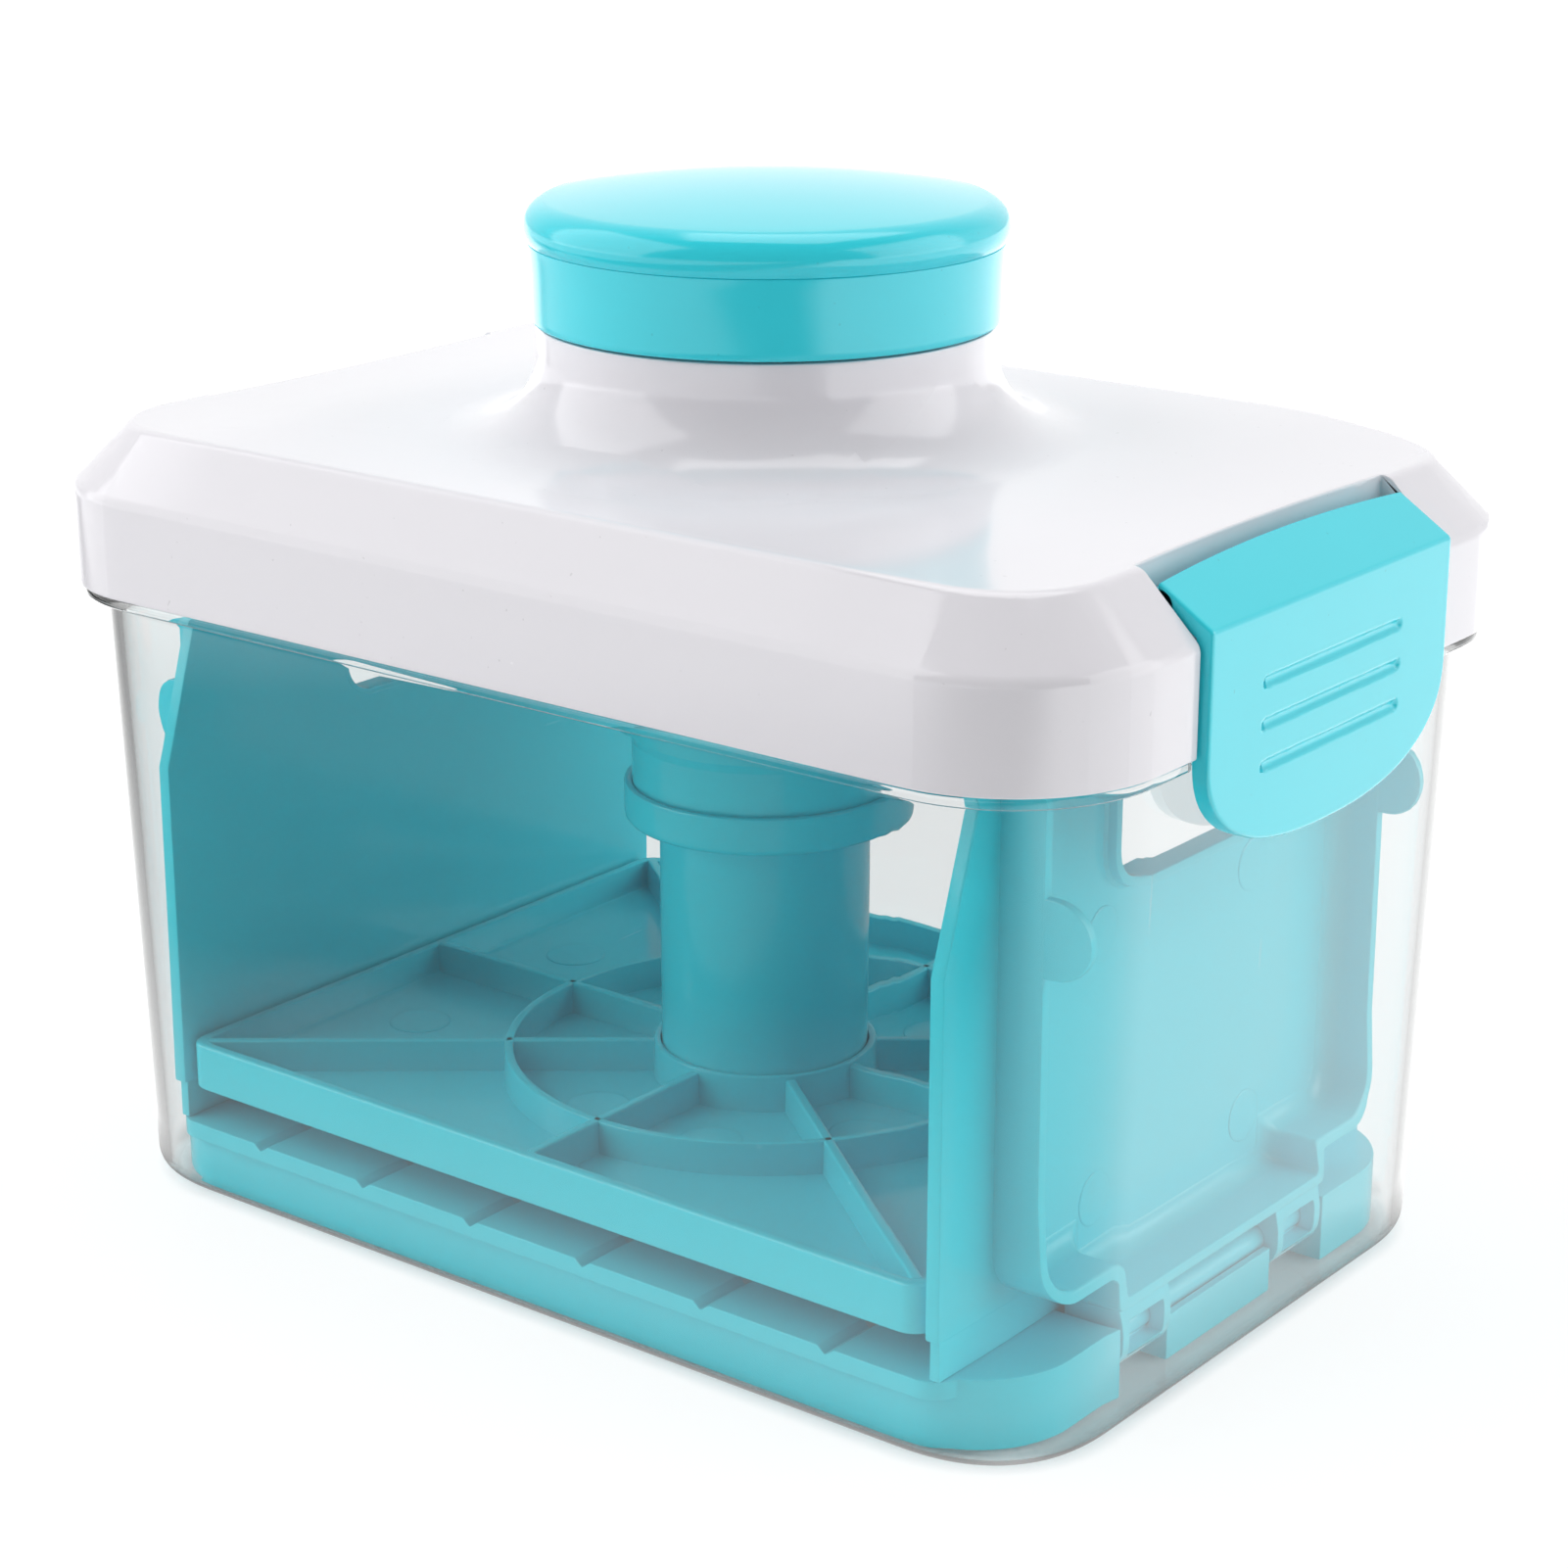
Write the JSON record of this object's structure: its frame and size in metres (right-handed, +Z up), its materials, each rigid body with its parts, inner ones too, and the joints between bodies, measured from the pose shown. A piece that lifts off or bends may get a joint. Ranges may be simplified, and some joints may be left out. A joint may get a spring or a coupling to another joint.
{
  "type": "tofu press",
  "caption": "Clear tub with a white clip-on lid, whose spring plunger squeezes tofu on a drain tray between hinged end panels.",
  "frame": {"origin": "centre of the tub's flat underside, on the table", "axes": "+Z up, +X along the tub towards the right-hand latch, +Y across towards the back long side"},
  "size_m": [0.1724, 0.1154, 0.1421],
  "materials": {
    "tub_clear": "clear, polished, slightly milky",
    "lid_white": "glossy white with a cool cast",
    "teal_gloss": "glossy light turquoise",
    "steel": "bright stainless"
  },
  "bodies": {
    "container": {"tub": "tub_clear"},
    "lid": {"lid_shell": "lid_white", "guide_sleeve": "teal_gloss", "sleeve_collar": "teal_gloss", "spring_cover": "teal_gloss", "cover_screws": "steel", "press_spring": "steel", "latch_pin_left": "steel", "latch_pin_right": "steel"},
    "knob": {"knob_skirt": "teal_gloss", "knob_dome": "teal_gloss"},
    "plunger": {"plunger_tube": "teal_gloss", "press_plate": "teal_gloss"},
    "latch_left": {"latch_left": "teal_gloss"},
    "latch_right": {"latch_right": "teal_gloss"},
    "basket": {"drain_tray": "teal_gloss"},
    "end_panel_left": {"end_panel_left": "teal_gloss", "hinge_rod_left": "teal_gloss"},
    "end_panel_right": {"end_panel_right": "teal_gloss", "hinge_rod_right": "teal_gloss"}
  },
  "joints": [
    {"name": "lid_lift", "type": "slide", "parent": "container", "child": "lid", "axis": [0, 0, 1], "range_m": [0, 0.19]},
    {"name": "knob_turn", "type": "hinge", "parent": "lid", "child": "knob", "pos_m": [0, 0, 0.1238], "axis": [0, 0, 1], "range_deg": [0, 60]},
    {"name": "plunger_slide", "type": "slide", "parent": "lid", "child": "plunger", "axis": [0, 0, 1], "range_m": [0, 0.032], "stiffness_N_per_m": 837, "springref_m": -0.02, "deforming": ["press_spring"]},
    {"name": "latch_left_swing", "type": "hinge", "parent": "lid", "child": "latch_left", "pos_m": [-0.0789, 0, 0.1043], "axis": [0, 1, 0], "range_deg": [0, 75]},
    {"name": "latch_right_swing", "type": "hinge", "parent": "lid", "child": "latch_right", "pos_m": [0.0789, 0, 0.1043], "axis": [0, -1, 0], "range_deg": [0, 75]},
    {"name": "basket_lift", "type": "slide", "parent": "container", "child": "basket", "axis": [0, 0, 1], "range_m": [0, 0.095]},
    {"name": "panel_left_lean", "type": "hinge", "parent": "basket", "child": "end_panel_left", "pos_m": [-0.0696, 0, 0.0077], "axis": [0, -1, 0], "range_deg": [0, 0.7]},
    {"name": "panel_right_lean", "type": "hinge", "parent": "basket", "child": "end_panel_right", "pos_m": [0.0696, 0, 0.0077], "axis": [0, 1, 0], "range_deg": [0, 0.7]}
  ],
  "couplings": [
    {"joint": "basket_lift", "follows": "lid_lift", "ratio": 0.5}
  ]
}
